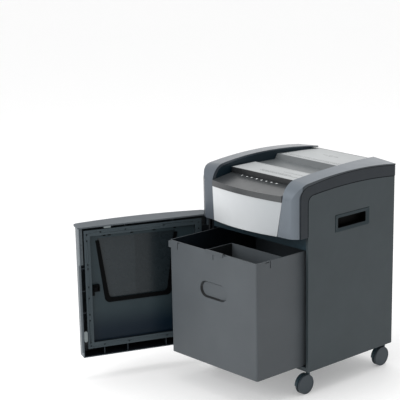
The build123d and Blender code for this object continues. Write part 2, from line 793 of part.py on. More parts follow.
def door_plan(inset):
    """Plan of the door: flat behind, bowed in front, with rounded front corners."""
    left, right, corner = DOOR_LEFT + inset, DOOR_RIGHT - inset, DOOR_CORNER
    front = DOOR_FRONT + inset
    slack = 0.293 * corner
    left_low, left_high = at_door(left, front + corner), at_door(left + corner, front)
    right_low, right_high = at_door(right, front + corner), at_door(right - corner, front)
    with BuildSketch(Plane.XY) as outline:
        with BuildLine():
            Line(at_door(left, DOOR_BACK), left_low)
            ThreePointArc(left_low, at_door(left + slack, front + slack), left_high)
            ThreePointArc(left_high, at_door(0, -257 + inset), right_high)
            ThreePointArc(right_high, at_door(right - slack, front + slack), right_low)
            Polyline(right_low, at_door(right, DOOR_BACK), at_door(left, DOOR_BACK))
        make_face()
    return outline.sketch


def door_front_view(y):
    """An upright plane across the door at closed-door depth y, facing the door's outside."""
    origin = DOOR.from_local_coords((0, y - HINGE_Y, 0))
    return Plane(origin=origin, x_dir=DOOR.x_dir, z_dir=-DOOR.y_dir)


WINDOW_X = 24.0
WINDOW_TOP = 376.0
WINDOW_LOW = 166.0


def window_outline(inset):
    """Shield-shaped window of the door, narrower at the bottom, with rounded lower corners."""
    top, low = 130.0 - inset, 104.0 - inset
    centre = WINDOW_X - HINGE_X
    with BuildSketch(Plane.XY) as outline:
        Polygon(
            (centre - top, WINDOW_TOP - inset),
            (centre - low, WINDOW_LOW + inset),
            (centre + low, WINDOW_LOW + inset),
            (centre + top, WINDOW_TOP - inset),
            align=None,
        )
        fillet(outline.vertices().group_by(Axis.Y)[0], 16)
    return outline.sketch


PAN_LEFT = -180.0
PAN_RIGHT = 189.5
PAN_LOW = 30.0
PAN_HIGH = 398.0
PAN_T = 1.5
PAN_Y = -190.0  # face of the pan's flange
RECESS = 10.0
RECESS_LEFT = -161.0
RECESS_RIGHT = 172.0
RECESS_LOW = 47.0
RECESS_HIGH = 381.0
KNUCKLES = ((40.0, 30.0), (344.0, 30.0))  # height and length of the door's two knuckles


def door_block(x, z, y):
    """Sketch of an upright rectangle on the door, from its x and z limits, on the plane at depth y."""
    with BuildSketch(door_front_view(y)) as block:
        with Locations(((x[0] + x[1]) / 2 - HINGE_X, (z[0] + z[1]) / 2)):
            Rectangle(x[1] - x[0], z[1] - z[0])
    return block.sketch


with BuildPart() as door_shell:
    with BuildSketch(DOOR.offset(DOOR_LOW + DOOR_SKIN)):
        add(door_plan(0))
        add(door_plan(DOOR_SKIN), mode=Mode.SUBTRACT)
        with Locations(at_door((DOOR_LEFT + DOOR_RIGHT) / 2, RIM_Y + 20)):
            Rectangle(DOOR_RIGHT - DOOR_LEFT + 10, 40, mode=Mode.SUBTRACT)
    extrude(amount=DOOR_HIGH - DOOR_CAP - DOOR_LOW - DOOR_SKIN)
    with BuildSketch(door_front_view(-225)):
        add(window_outline(14))
    extrude(amount=40, mode=Mode.SUBTRACT)
save(door_shell.part, "door_shell")

with BuildPart() as door_frame:
    # top and bottom boards
    with BuildSketch(DOOR.offset(DOOR_LOW)):
        add(door_plan(0))
    extrude(amount=DOOR_SKIN)
    with BuildSketch(DOOR.offset(DOOR_HIGH - DOOR_CAP)):
        add(door_plan(-CAP_REACH))
    extrude(amount=DOOR_CAP)
    # side walls of the rim
    with BuildSketch(DOOR.offset(DOOR_LOW)):
        for x in (DOOR_LEFT + DOOR_SKIN / 2, DOOR_RIGHT - DOOR_SKIN / 2):
            with Locations(at_door(x, (RIM_Y + DOOR_BACK) / 2)):
                Rectangle(DOOR_SKIN, DOOR_BACK - RIM_Y)
    extrude(amount=DOOR_HIGH - DOOR_LOW)
    # cross ribs between the rim and the inner pan
    for rib_x, rib_width, heights in (
        ((PAN_RIGHT + DOOR_RIGHT) / 2 - 0.5, DOOR_RIGHT - PAN_RIGHT - 2, (143.0, 211.0, 281.0)),
        ((PAN_LEFT + DOOR_LEFT) / 2, PAN_LEFT - DOOR_LEFT - 1, (105.0, 143.0, 211.0, 281.0, 313.0)),
    ):
        for rib_z in heights:
            with BuildSketch(DOOR.offset(rib_z)):
                with Locations(at_door(rib_x, -197.6)):
                    Rectangle(rib_width, 8.6)
            extrude(amount=2)
    for rib_x in (-140.0, -58.0, 65.0, 138.0):
        extrude(door_block((rib_x - 1, rib_x + 1), (DOOR_LOW + 1, PAN_LOW - 0.5), -194), amount=40)
    for rib_x in (-90.0, 61.0):
        high = door_block((rib_x - 1, rib_x + 1), (PAN_HIGH + 0.5, DOOR_HIGH - DOOR_CAP + 1), -194)
        extrude(high, amount=40)
    # grey strip beside the upper half of the free edge, with two small holes
    extrude(door_block((193.5, 202.5), (293, 405.6), -192.5), amount=2)
    with BuildSketch(door_front_view(-192)):
        with Locations((198 - HINGE_X, 355), (198 - HINGE_X, 340)):
            Circle(1.2)
    extrude(amount=4, mode=Mode.SUBTRACT)
    # finger lip along the lower part of the free edge
    extrude(door_block((203, 209), (21, 293), DOOR_BACK), amount=3.5)
    # room for the fixed hinge knuckles
    for knuckle_z, knuckle_length in KNUCKLES:
        with BuildSketch(DOOR.offset(knuckle_z - 1 - 22)):
            with Locations((3, -1)):
                Rectangle(14, 14)
        extrude(amount=knuckle_length + 46, mode=Mode.SUBTRACT)
    # walls that close those cut-outs off from the inside, leaving room for the hinge arms
    for heights in ((5, 39.4), (70.6, 106), (314, 343.4), (374.6, 406)):
        extrude(door_block((-197.7, -195.7), heights, DOOR_BACK), amount=13.5)
        extrude(door_block((-202.5, -197), heights, DOOR_BACK), amount=0.8)
save(door_frame.part, "door_frame")

with BuildPart() as door_pan:
    extrude(door_block((PAN_LEFT, PAN_RIGHT), (PAN_LOW, PAN_HIGH), PAN_Y), amount=PAN_T)
    extrude(door_block((RECESS_LEFT, RECESS_RIGHT), (RECESS_LOW, RECESS_HIGH), PAN_Y), amount=RECESS + PAN_T)
    inner_x = (RECESS_LEFT + PAN_T, RECESS_RIGHT - PAN_T)
    inner_z = (RECESS_LOW + PAN_T, RECESS_HIGH - PAN_T)
    extrude(door_block(inner_x, inner_z, PAN_Y), amount=RECESS, mode=Mode.SUBTRACT)
    with BuildSketch(door_front_view(PAN_Y)):
        add(window_outline(8))
    extrude(amount=RECESS + 5, mode=Mode.SUBTRACT)
    # small fixing holes in the flange
    with BuildSketch(door_front_view(PAN_Y)):
        for z in (385, 366, 293, 280, 224, 189, 137, 119, 49, 38):
            with Locations((180.5 - HINGE_X, z), (PAN_LEFT + 9.5 - HINGE_X, z)):
                Circle(2.4)
        for x in (-150, -60, 61, 138):
            with Locations((x - HINGE_X, PAN_HIGH - 8.5), (x - HINGE_X, PAN_LOW + 8.5)):
                Circle(2.4)
    extrude(amount=PAN_T + 1, mode=Mode.SUBTRACT)
save(door_pan.part, "door_pan")

PANE_Y = -190 - RECESS - PAN_T - 2.2
with BuildPart() as pane:
    with BuildSketch(door_front_view(PANE_Y)):
        add(window_outline(1))
    extrude(amount=2.5)
save(pane.part, "door_window")

with BuildPart() as gasket:
    with BuildSketch(door_front_view(PAN_Y - RECESS + 1.8)):
        add(window_outline(0))
    extrude(amount=1.7)
    with BuildSketch(door_front_view(PAN_Y - RECESS + 3)):
        add(window_outline(13))
    extrude(amount=6, mode=Mode.SUBTRACT)
    above = door_block((-140, 190), (WINDOW_TOP - 14, WINDOW_TOP + 30), PAN_Y - RECESS + 3)
    extrude(above, amount=6, mode=Mode.SUBTRACT)
    # clips along the top edge of the recess
    for clip_x in (-95, -30, 40, 110, 126):
        clip = door_block((clip_x - 4, clip_x + 4), (RECESS_HIGH - 6, RECESS_HIGH - 1.6), -193.5)
        extrude(clip, amount=6.3)
save(gasket.part, "window_gasket")

with BuildPart() as catch:
    # two blocks on the floor of the pan's recess, the taller one with a hooked tongue
    extrude(door_block((146, 166), (206, 227), -191), amount=8.9)
    extrude(door_block((162, 170), (194, 212), -193), amount=6.9)
    extrude(door_block((148.5, 153), (209, 224), -191), amount=5, mode=Mode.SUBTRACT)
    extrude(door_block((155, 160), (210, 222), -186.6), amount=5)
    extrude(door_block((155, 164), (210, 222), -186.6), amount=2)
save(catch.part, "door_catch")

with BuildPart() as bumper:
    # rubber stop low on the free edge, with its stem
    with BuildSketch(door_front_view(DOOR_BACK - 1)):
        with Locations((196 - HINGE_X, 70)):
            SlotOverall(34, 10.6, rotation=90)
    extrude(amount=-1.8)
    extrude(door_block((193.5, 198.5), (60, 80), DOOR_BACK - 1), amount=12)
    # pale pad under the top board
    extrude(door_block((106, 127), (400, DOOR_HIGH - DOOR_CAP - 0.2), -189.5), amount=9)
save(bumper.part, "door_bumpers")

# ---------------------------------------------------------------- hinges
KNUCKLE_R = 5.0
PIN_R = 3.0
HINGE_GAP = 0.4
HINGE_END = 21.5  # length of each fixed knuckle, above and below the door's own

with BuildPart() as door_knuckles:
    for knuckle_z, knuckle_length in KNUCKLES:
        with BuildSketch(DOOR.offset(knuckle_z)):
            Circle(KNUCKLE_R)
            with Locations((21.5, -1)):
                Rectangle(41, 3)
            Circle(PIN_R + 0.05, mode=Mode.SUBTRACT)
        extrude(amount=knuckle_length)
save(door_knuckles.part, "door_knuckles")

with BuildPart() as hinge_brackets:
    for knuckle_z, knuckle_length in KNUCKLES:
        for z in (knuckle_z - HINGE_GAP - HINGE_END, knuckle_z + knuckle_length + HINGE_GAP):
            with BuildSketch(level(z)):
                with Locations((HINGE_X, HINGE_Y)):
                    Circle(KNUCKLE_R)
                with Locations((-206, -188)):
                    Rectangle(6, 4)
            extrude(amount=HINGE_END)
        with BuildSketch(level(knuckle_z - HINGE_GAP - HINGE_END)):
            with Locations((-199.8, -186.65)):
                Rectangle(7.4, 1.3)
            with Locations((-206.2, -186.3)):
                Rectangle(5.8, 0.6)
        extrude(amount=knuckle_length + 2 * HINGE_GAP + 2 * HINGE_END)
        with BuildSketch(level(knuckle_z - HINGE_GAP - HINGE_END)):
            with Locations((HINGE_X, HINGE_Y)):
                Circle(PIN_R)
        extrude(amount=knuckle_length + 2 * HINGE_GAP + 2 * HINGE_END)
save(hinge_brackets.part, "hinge_brackets")

with BuildPart() as screws:
    with BuildSketch(front_view(BACK_Y - 0.4)):
        with Locations(SCREWS):
            Circle(4)
    extrude(amount=1.9)
save(screws.part, "cabinet_screws")

# ---------------------------------------------------------------- waste bin
BIN_T = 2.5
BIN_TOP = 17.5 + BIN_H
RIM_LOW = BIN_TOP - 24
GRIP_X = 4.0
GRIP_Z = 248.0
GRIP_W = 115.0
GRIP_H = 50.0
GRIP_DEPTH = 7.0

with BuildPart() as bin_shell:
    with BuildSketch(level(17.5)):
        with Locations((0, BIN_FRONT_Y + BIN_D / 2)):
            RectangleRounded(BIN_W, BIN_D, 6)
    extrude(amount=BIN_H)
    # ledge along the left rim
    with BuildSketch(level(RIM_LOW)):
        with Locations((-BIN_W / 2 - 2, BIN_FRONT_Y + BIN_D / 2 - 3)):
            Rectangle(11, BIN_D - 7)
    extrude(amount=19)
    with BuildSketch(level(17.5 + BIN_T)):
        with Locations((0, BIN_FRONT_Y + BIN_D / 2)):
            RectangleRounded(BIN_W - 2 * BIN_T, BIN_D - 2 * BIN_T, 4)
    extrude(amount=BIN_H, mode=Mode.SUBTRACT)
    # grip pocket
    with BuildSketch(front_view(BIN_FRONT_Y)):
        with Locations((GRIP_X, GRIP_Z)):
            SlotOverall(GRIP_W + 6, GRIP_H + 6)
    extrude(amount=-(GRIP_DEPTH + BIN_T))
    with BuildSketch(front_view(BIN_FRONT_Y)):
        with Locations((GRIP_X, GRIP_Z)):
            SlotOverall(GRIP_W, GRIP_H)
    with BuildSketch(front_view(BIN_FRONT_Y + GRIP_DEPTH)):
        with Locations((GRIP_X, GRIP_Z)):
            SlotOverall(GRIP_W - 9, GRIP_H - 9)
    loft(mode=Mode.SUBTRACT)
    # slits in the front rim and in the right-hand rim
    with BuildSketch(front_view(BIN_FRONT_Y - 1)):
        for x in (-151, 4.5):
            with Locations((x, BIN_TOP - 13.5)):
                Rectangle(2.6, 22)
            with Locations((x + 5, BIN_TOP - 3.5)):
                Rectangle(12, 2)
        with Locations((57, BIN_TOP - 1.5)):
            Rectangle(14, 4)
    extrude(amount=-6, mode=Mode.SUBTRACT)
    with BuildSketch(side_view(BIN_W / 2 - 4)):
        with Locations((BIN_FRONT_Y + 42, BIN_TOP - 3)):
            Rectangle(14, 3)
        with Locations((BIN_FRONT_Y + 54, BIN_TOP - 11)):
            Rectangle(2.6, 22)
    extrude(amount=6, mode=Mode.SUBTRACT)
save(bin_shell.part, "bin_shell")

TRAY_LEFT, TRAY_RIGHT = -27.0, 181.8
TRAY_DEPTH = 101.0
TRAY_H = 88.0
TRAY_T = 2.0
TRAY_FRONT = BIN_FRONT_Y + BIN_T + 0.4
HOOK_LEFT, HOOK_RIGHT = -27.0, 47.0
with BuildPart() as tray:
    with BuildSketch(level(BIN_TOP - TRAY_H)):
        with Locations(((TRAY_LEFT + TRAY_RIGHT) / 2, TRAY_FRONT + TRAY_DEPTH / 2)):
            RectangleRounded(TRAY_RIGHT - TRAY_LEFT, TRAY_DEPTH, 4)
    extrude(amount=TRAY_H + 0.3)
    with BuildSketch(level(BIN_TOP - TRAY_H + TRAY_T)):
        with Locations(((TRAY_LEFT + TRAY_RIGHT) / 2, TRAY_FRONT + TRAY_DEPTH / 2)):
            RectangleRounded(TRAY_RIGHT - TRAY_LEFT - 2 * TRAY_T, TRAY_DEPTH - 2 * TRAY_T, 3)
    extrude(amount=TRAY_H, mode=Mode.SUBTRACT)
    # hook over the bin's front rim
    with BuildSketch(side_view(HOOK_LEFT)):
        Polygon(
            (TRAY_FRONT + 1, BIN_TOP + 0.3),
            (TRAY_FRONT + 1, BIN_TOP + 2.1),
            (BIN_FRONT_Y - 2, BIN_TOP + 2.1),
            (BIN_FRONT_Y - 2, BIN_TOP - 8),
            (BIN_FRONT_Y - 0.3, BIN_TOP - 8),
            (BIN_FRONT_Y - 0.3, BIN_TOP + 0.3),
            align=None,
        )
    extrude(amount=HOOK_RIGHT - HOOK_LEFT)
save(tray.part, "bin_compartment")

# ---------------------------------------------------------------- casters
OUTER_WHEEL = (2.6, 11.0)  # span across the caster, from the swivel axis towards the outside
INNER_WHEEL = (-7.4, -1.6)
HOOD_SPAN = (-8.0, 2.1)
AXLE_R = 4.0
HOOD_IN = WHEEL_R + 0.4
HOOD_OUT = HOOD_IN + 1.6


def caster_drum(x, y, side, span, radius, mode=Mode.ADD):
    """Adds or cuts a drum round a caster's axle, over a span across the caster."""
    middle = x + side * (span[0] + span[1]) / 2
    with Locations(Location((middle, y - TRAIL, WHEEL_R), (0, 90, 0))):
        Cylinder(radius, span[1] - span[0], mode=mode)


def caster_fork(x, y, side):
    """Swivelling frame of a caster: stem, hood over the inner wheel, web and axle."""
    with BuildPart() as fork:
        caster_drum(x, y, side, HOOD_SPAN, HOOD_OUT)
        with BuildSketch(across(x - 20, y - TRAIL, WHEEL_R)):
            with Locations((0, -HOOD_OUT)):
                Rectangle(90, 2 * HOOD_OUT)
            Polygon((HOOD_OUT + 5, -1), (HOOD_OUT + 5, 12), (4, -1), align=None)
        extrude(amount=40, mode=Mode.SUBTRACT)
        caster_drum(x, y, side, (INNER_WHEEL[0] - 0.3, INNER_WHEEL[1] + 0.3), HOOD_IN, Mode.SUBTRACT)
        # web between the wheels, down to the axle
        caster_drum(x, y, side, (-1.2, 2.1), 11)
        # neck and stem on the swivel axis
        with Locations((x, y, BASE_Z - 14)):
            Cylinder(STEM_R + 1, 27)
        caster_drum(x, y, side, (INNER_WHEEL[0] - 0.3, INNER_WHEEL[1] + 0.3), HOOD_IN, Mode.SUBTRACT)
        caster_drum(x, y, side, (OUTER_WHEEL[0] - 0.4, OUTER_WHEEL[1] + 0.3), HOOD_IN, Mode.SUBTRACT)
        with Locations((x, y, BASE_Z + 6.5)):
            Cylinder(STEM_R, 14.5)
        caster_drum(x, y, side, (INNER_WHEEL[0] + 1, OUTER_WHEEL[1] - 2), AXLE_R)
    return fork.part


def caster_wheels(x, y, side):
    """The broad outer wheel of a caster and the narrow one under the hood, on one blind bore."""
    with BuildPart() as wheels:
        for span in (OUTER_WHEEL, INNER_WHEEL):
            caster_drum(x, y, side, span, WHEEL_R)
        fillet(wheels.edges().filter_by(GeomType.CIRCLE).group_by(SortBy.RADIUS)[-1], 1.2)
        caster_drum(x, y, side, (OUTER_WHEEL[1] - 0.6, OUTER_WHEEL[1] + 0.4), WHEEL_R - 4, Mode.SUBTRACT)
        caster_drum(x, y, side, (INNER_WHEEL[0] + 0.7, OUTER_WHEEL[1] - 1.7), AXLE_R + 0.05, Mode.SUBTRACT)
    return wheels.part


for corner_name, corner_x, corner_y in (
    ("front_left", -CASTER_X, CASTER_FRONT_Y),
    ("front_right", CASTER_X, CASTER_FRONT_Y),
    ("rear_left", -CASTER_X, CASTER_REAR_Y),
    ("rear_right", CASTER_X, CASTER_REAR_Y),
):
    outward = math.copysign(1, corner_x)
    save(caster_fork(corner_x, corner_y, outward), f"caster_fork_{corner_name}")
    save(caster_wheels(corner_x, corner_y, outward), f"caster_wheels_{corner_name}")
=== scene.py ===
"""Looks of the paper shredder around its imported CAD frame. Metres, +Z up, front faces -Y."""

import json
import math

import bmesh
import bpy
from mathutils import Matrix, Vector


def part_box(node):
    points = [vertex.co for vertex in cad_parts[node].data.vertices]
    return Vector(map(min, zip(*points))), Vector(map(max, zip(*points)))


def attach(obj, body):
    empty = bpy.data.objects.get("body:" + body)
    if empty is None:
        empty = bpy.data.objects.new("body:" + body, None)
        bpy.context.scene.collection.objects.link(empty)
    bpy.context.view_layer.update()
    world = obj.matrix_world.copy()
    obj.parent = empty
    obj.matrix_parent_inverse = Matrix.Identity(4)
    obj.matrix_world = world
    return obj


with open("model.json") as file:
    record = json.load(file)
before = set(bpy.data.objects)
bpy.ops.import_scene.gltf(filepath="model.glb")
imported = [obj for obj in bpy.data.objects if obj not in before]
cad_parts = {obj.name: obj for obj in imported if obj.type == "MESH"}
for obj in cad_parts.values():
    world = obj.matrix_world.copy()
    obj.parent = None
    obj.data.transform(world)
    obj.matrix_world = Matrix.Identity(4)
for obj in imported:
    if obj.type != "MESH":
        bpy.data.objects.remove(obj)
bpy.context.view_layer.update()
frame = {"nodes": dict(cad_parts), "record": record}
nodes = frame["nodes"]
slot_of = {s["node"]: s["material_slot"] for s in frame["record"]["subparts"]}
MM = 0.001


# ---------------------------------------------------------------- materials
def new_material(name):
    """An empty node material: (material, nodes, links, shader, object coordinates)."""
    material = bpy.data.materials.new(name)
    material.use_nodes = True
    tree = material.node_tree
    shader = tree.nodes["Principled BSDF"]
    coords = tree.nodes.new("ShaderNodeTexCoord")
    return material, tree.nodes, tree.links, shader, coords


def noise(tree_nodes, links, coords, scale, detail=2.0, stretch=(1, 1, 1)):
    """A noise texture in object space; scale is in cycles per metre."""
    mapping = tree_nodes.new("ShaderNodeMapping")
    mapping.inputs["Scale"].default_value = stretch
    texture = tree_nodes.new("ShaderNodeTexNoise")
    texture.inputs["Scale"].default_value = scale
    texture.inputs["Detail"].default_value = detail
    links.new(coords.outputs["Object"], mapping.inputs["Vector"])
    links.new(mapping.outputs["Vector"], texture.inputs["Vector"])
    return texture.outputs["Fac"]


def ramp(tree_nodes, links, value, low, high, start=0.3, end=0.7):
    """A colour ramp from low to high between two values."""
    node = tree_nodes.new("ShaderNodeValToRGB")
    node.color_ramp.elements[0].position = start
    node.color_ramp.elements[1].position = end
    node.color_ramp.elements[0].color = (*low, 1)
    node.color_ramp.elements[1].color = (*high, 1)
    links.new(value, node.inputs["Fac"])
    return node.outputs["Color"]


def remap(tree_nodes, links, value, low, high):
    """Maps a value from 0..1 to low..high."""
    node = tree_nodes.new("ShaderNodeMapRange")
    node.inputs["To Min"].default_value = low
    node.inputs["To Max"].default_value = high
    links.new(value, node.inputs["Value"])
    return node.outputs["Result"]


def shade(red, green, blue):
    """A surface colour from display values 0..255 to the linear values that the shader takes."""
    values = [c / 255 for c in (red, green, blue)]
    return tuple(c / 12.92 if c < 0.0404 else ((c + 0.055) / 1.055) ** 2.4 for c in values)


def inside_box(tree_nodes, links, coords, low, high):
    """1 where the surface lies inside a box in metres, 0 elsewhere."""
    centre = [(a + b) / 2 for a, b in zip(low, high)]
    half = [(b - a) / 2 for a, b in zip(low, high)]
    offset = tree_nodes.new("ShaderNodeVectorMath")
    offset.operation = "SUBTRACT"
    offset.inputs[1].default_value = centre
    size = tree_nodes.new("ShaderNodeVectorMath")
    size.operation = "ABSOLUTE"
    split = tree_nodes.new("ShaderNodeSeparateXYZ")
    links.new(coords.outputs["Object"], offset.inputs[0])
    links.new(offset.outputs[0], size.inputs[0])
    links.new(size.outputs[0], split.inputs[0])
    mask = None
    for axis in range(3):
        less = tree_nodes.new("ShaderNodeMath")
        less.operation = "LESS_THAN"
        less.inputs[1].default_value = half[axis]
        links.new(split.outputs[axis], less.inputs[0])
        if mask is None:
            mask = less.outputs[0]
        else:
            both = tree_nodes.new("ShaderNodeMath")
            both.operation = "MULTIPLY"
            links.new(mask, both.inputs[0])
            links.new(less.outputs[0], both.inputs[1])
            mask = both.outputs[0]
    return mask


def distance(tree_nodes, links, coords, direction):
    """How far the surface lies along a direction, in metres."""
    dot = tree_nodes.new("ShaderNodeVectorMath")
    dot.operation = "DOT_PRODUCT"
    dot.inputs[1].default_value = direction
    links.new(coords.outputs["Object"], dot.inputs[0])
    return dot.outputs["Value"]


def gradient(tree_nodes, links, coords, direction, start, end):
    """0 at start and 1 at end, in metres along a direction, eased between."""
    span = tree_nodes.new("ShaderNodeMapRange")
    span.interpolation_type = "SMOOTHSTEP"
    span.inputs["From Min"].default_value = min(start, end)
    span.inputs["From Max"].default_value = max(start, end)
    span.inputs["To Min"].default_value = 0 if start < end else 1
    span.inputs["To Max"].default_value = 1 if start < end else 0
    links.new(distance(tree_nodes, links, coords, direction), span.inputs["Value"])
    return span.outputs["Result"]


def slab(tree_nodes, links, coords, direction, start, end):
    """1 between two distances along a direction, 0 elsewhere."""
    compare = tree_nodes.new("ShaderNodeMath")
    compare.operation = "COMPARE"
    compare.inputs[1].default_value = (start + end) / 2
    compare.inputs[2].default_value = abs(end - start) / 2
    links.new(distance(tree_nodes, links, coords, direction), compare.inputs[0])
    return compare.outputs[0]


def facing(tree_nodes, links, coords, direction):
    """1 where the surface faces a direction, 0 elsewhere."""
    dot = tree_nodes.new("ShaderNodeVectorMath")
    dot.operation = "DOT_PRODUCT"
    dot.inputs[1].default_value = direction
    links.new(coords.outputs["Normal"], dot.inputs[0])
    more = tree_nodes.new("ShaderNodeMath")
    more.operation = "GREATER_THAN"
    more.inputs[1].default_value = 0.6
    links.new(dot.outputs["Value"], more.inputs[0])
    return more.outputs[0]


def all_of(tree_nodes, links, coords, *zones):
    """1 where every one of some zones is 1."""
    mask = None
    for kind, arguments in zones:
        value = kind(tree_nodes, links, coords, *arguments)
        if mask is None:
            mask = value
        else:
            both = tree_nodes.new("ShaderNodeMath")
            both.operation = "MULTIPLY"
            links.new(mask, both.inputs[0])
            links.new(value, both.inputs[1])
            mask = both.outputs[0]
    return mask


def tint(tree_nodes, links, colour, other, mask):
    """Mixes a fixed other colour over a colour socket by a mask."""
    mix = tree_nodes.new("ShaderNodeMix")
    mix.data_type = "RGBA"
    mix.inputs[7].default_value = (*other, 1)
    links.new(mask, mix.inputs[0])
    links.new(colour, mix.inputs[6])
    return mix.outputs[2]


def moulded(
    name, colour, rough=0.45, grain=2600, bump=0.05, metallic=0.0, spec=0.35, coat=0.0, zones=(), mottle=0.06
):
    """Moulded or painted surface: cloudy tone, uneven gloss and a fine grain.

    zones are (kind, arguments, colour): a box, a slab or a gradient in which the tone changes; the zones
    used below are largely painted shade and painted light.
    """
    material, tree_nodes, links, shader, coords = new_material(name)
    cloud = noise(tree_nodes, links, coords, 9, 4)
    low = tuple(c * (1 - mottle) for c in colour)
    high = tuple(c * (1 + mottle) for c in colour)
    tone = ramp(tree_nodes, links, cloud, low, high)
    for kind, arguments, other in zones:
        mask = kind(tree_nodes, links, coords, *arguments)
        tone = tint(tree_nodes, links, tone, other, mask)
    links.new(tone, shader.inputs["Base Color"])
    smear = noise(tree_nodes, links, coords, 34, 5)
    links.new(remap(tree_nodes, links, smear, rough - 0.07, rough + 0.07), shader.inputs["Roughness"])
    shader.inputs["Metallic"].default_value = metallic
    shader.inputs["Specular IOR Level"].default_value = spec
    shader.inputs["Coat Weight"].default_value = coat
    shader.inputs["Coat Roughness"].default_value = 0.15
    if bump:
        fine = noise(tree_nodes, links, coords, grain, 3)
        height = tree_nodes.new("ShaderNodeBump")
        height.inputs["Strength"].default_value = bump
        height.inputs["Distance"].default_value = 0.0004
        links.new(fine, height.inputs["Height"])
        links.new(height.outputs["Normal"], shader.inputs["Normal"])
    return material


def smoked(name, colour, alpha, zones=()):
    """Dark see-through plastic pane with faint cloudiness."""
    material, tree_nodes, links, shader, coords = new_material(name)
    cloud = noise(tree_nodes, links, coords, 6, 3)
    low = tuple(c * 0.92 for c in colour)
    high = tuple(c * 1.08 for c in colour)
    tone = ramp(tree_nodes, links, cloud, low, high)
    for kind, arguments, other in zones:
        mask = kind(tree_nodes, links, coords, *arguments)
        tone = tint(tree_nodes, links, tone, other, mask)
    links.new(tone, shader.inputs["Base Color"])
    smear = noise(tree_nodes, links, coords, 40, 4)
    links.new(remap(tree_nodes, links, smear, 0.22, 0.34), shader.inputs["Roughness"])
    shader.inputs["Alpha"].default_value = alpha
    shader.inputs["Specular IOR Level"].default_value = 0.3
    return material


bin_low, bin_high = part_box("bin_shell")
bin_back = (
    (bin_high[0] - 0.3676, bin_low[1] + 0.0097, bin_low[2] + 0.002),
    (bin_high[0] - 0.0023, bin_high[1] - 0.002, bin_high[2] - 0.0008),
)
bin_front = (
    (bin_high[0] - 0.3676, bin_low[1] + 0.0022, bin_low[2] + 0.262),
    (bin_high[0] - 0.0023, bin_low[1] + 0.01, bin_high[2] - 0.0008),
)
UP = (0, 0, 1)
RIGHT = (1, 0, 0)
FRONT = (0, -1, 0)
hinge = [j for j in frame["record"]["behaviour"]["joints"] if j["name"] == "door_hinge"][0]["pos_m"]
OUT = (-math.sin(math.radians(111)), -math.cos(math.radians(111)), 0)  # the open door's outside
ALONG = (math.cos(math.radians(111)), -math.sin(math.radians(111)), 0)  # towards its free edge
out_0 = OUT[0] * hinge[0] + OUT[1] * hinge[1]
along_0 = ALONG[0] * hinge[0] + ALONG[1] * hinge[1]
pan_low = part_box("door_pan")[0]
door_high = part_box("door_frame")[1]
panel_tone = shade(51, 60, 64)
pan_tone = shade(44, 56, 61)
deck_tone = shade(92, 96, 98)
rail_side = shade(46, 53, 59)
# Rail tones: painted shade darkens the rails towards the left; their outer side faces take a darker tone.
rail_tones_with_shade = (
    (gradient, (RIGHT, 0.1, -0.14), shade(84, 91, 99)),
    (slab, (RIGHT, 0.2036, 0.3), rail_side),
    (slab, (RIGHT, -0.3, -0.2036), rail_side),
)
# Painted shade: inside the cabinet's bay the side panels' faces are near-black teal.
bay = ((-0.1967, -0.1855, 0.0745), (0.1967, 0.1855, 1))
grip_x = (bin_low[0] + bin_high[0]) / 2 + 0.0065
grip_z = bin_low[2] + 0.2305
grip = (
    (grip_x - 0.06, bin_low[1] + 0.0004, grip_z - 0.028),
    (grip_x + 0.06, bin_low[1] + 0.0066, grip_z + 0.028),
)
grip_dark = (
    (grip_x - 0.06, bin_low[1] + 0.0004, grip_z - 0.028),
    (grip_x + 0.025, bin_low[1] + 0.0066, grip_z + 0.004),
)
# Painted shade in the bin: its inside walls and floor and the inside of its front wall are darker, inner
# faces that face +X are near-black, and the grip pocket's walls are dark, darkest at the pocket's left and
# lower part.
bin_painted_shade = (
    (inside_box, bin_back, shade(43, 49, 54)),
    (inside_box, bin_front, shade(48, 53, 58)),
    (all_of, ((inside_box, bin_back), (facing, (RIGHT,))), shade(14, 22, 30)),
    (inside_box, grip, shade(34, 38, 41)),
    (inside_box, grip_dark, shade(14, 16, 18)),
)
INWARD = (-OUT[0], -OUT[1], 0)  # towards the cabinet's side of the door
rim_edges = ((slab, (OUT, out_0 - 0.004, out_0 - 0.003)), (facing, (INWARD,)))
rib_edges = ((slab, (OUT, out_0 + 0.0011, out_0 + 0.0023)), (facing, (INWARD,)))
edge_strip = (
    (slab, (OUT, out_0 - 0.0002, out_0 + 0.001)),
    (slab, (ALONG, along_0 + 0.401, along_0 + 0.411)),
)
# Door tones: the grey paint of the frame's rim edges, rib edges, edge strip and free edge and of the top
# cap, each in a tone set for the light it gets: the paint's own grey, lightened or darkened as painted light
# and shade.
door_zones = (
    (all_of, rim_edges, shade(70, 78, 84)),
    (all_of, rib_edges, shade(52, 60, 66)),
    (all_of, edge_strip, shade(84, 92, 97)),
    (slab, (ALONG, along_0 + 0.4119, along_0 + 0.43), shade(88, 95, 100)),
    (gradient, (UP, door_high[2] - 0.0046, door_high[2] - 0.0042), shade(82, 88, 93)),
)
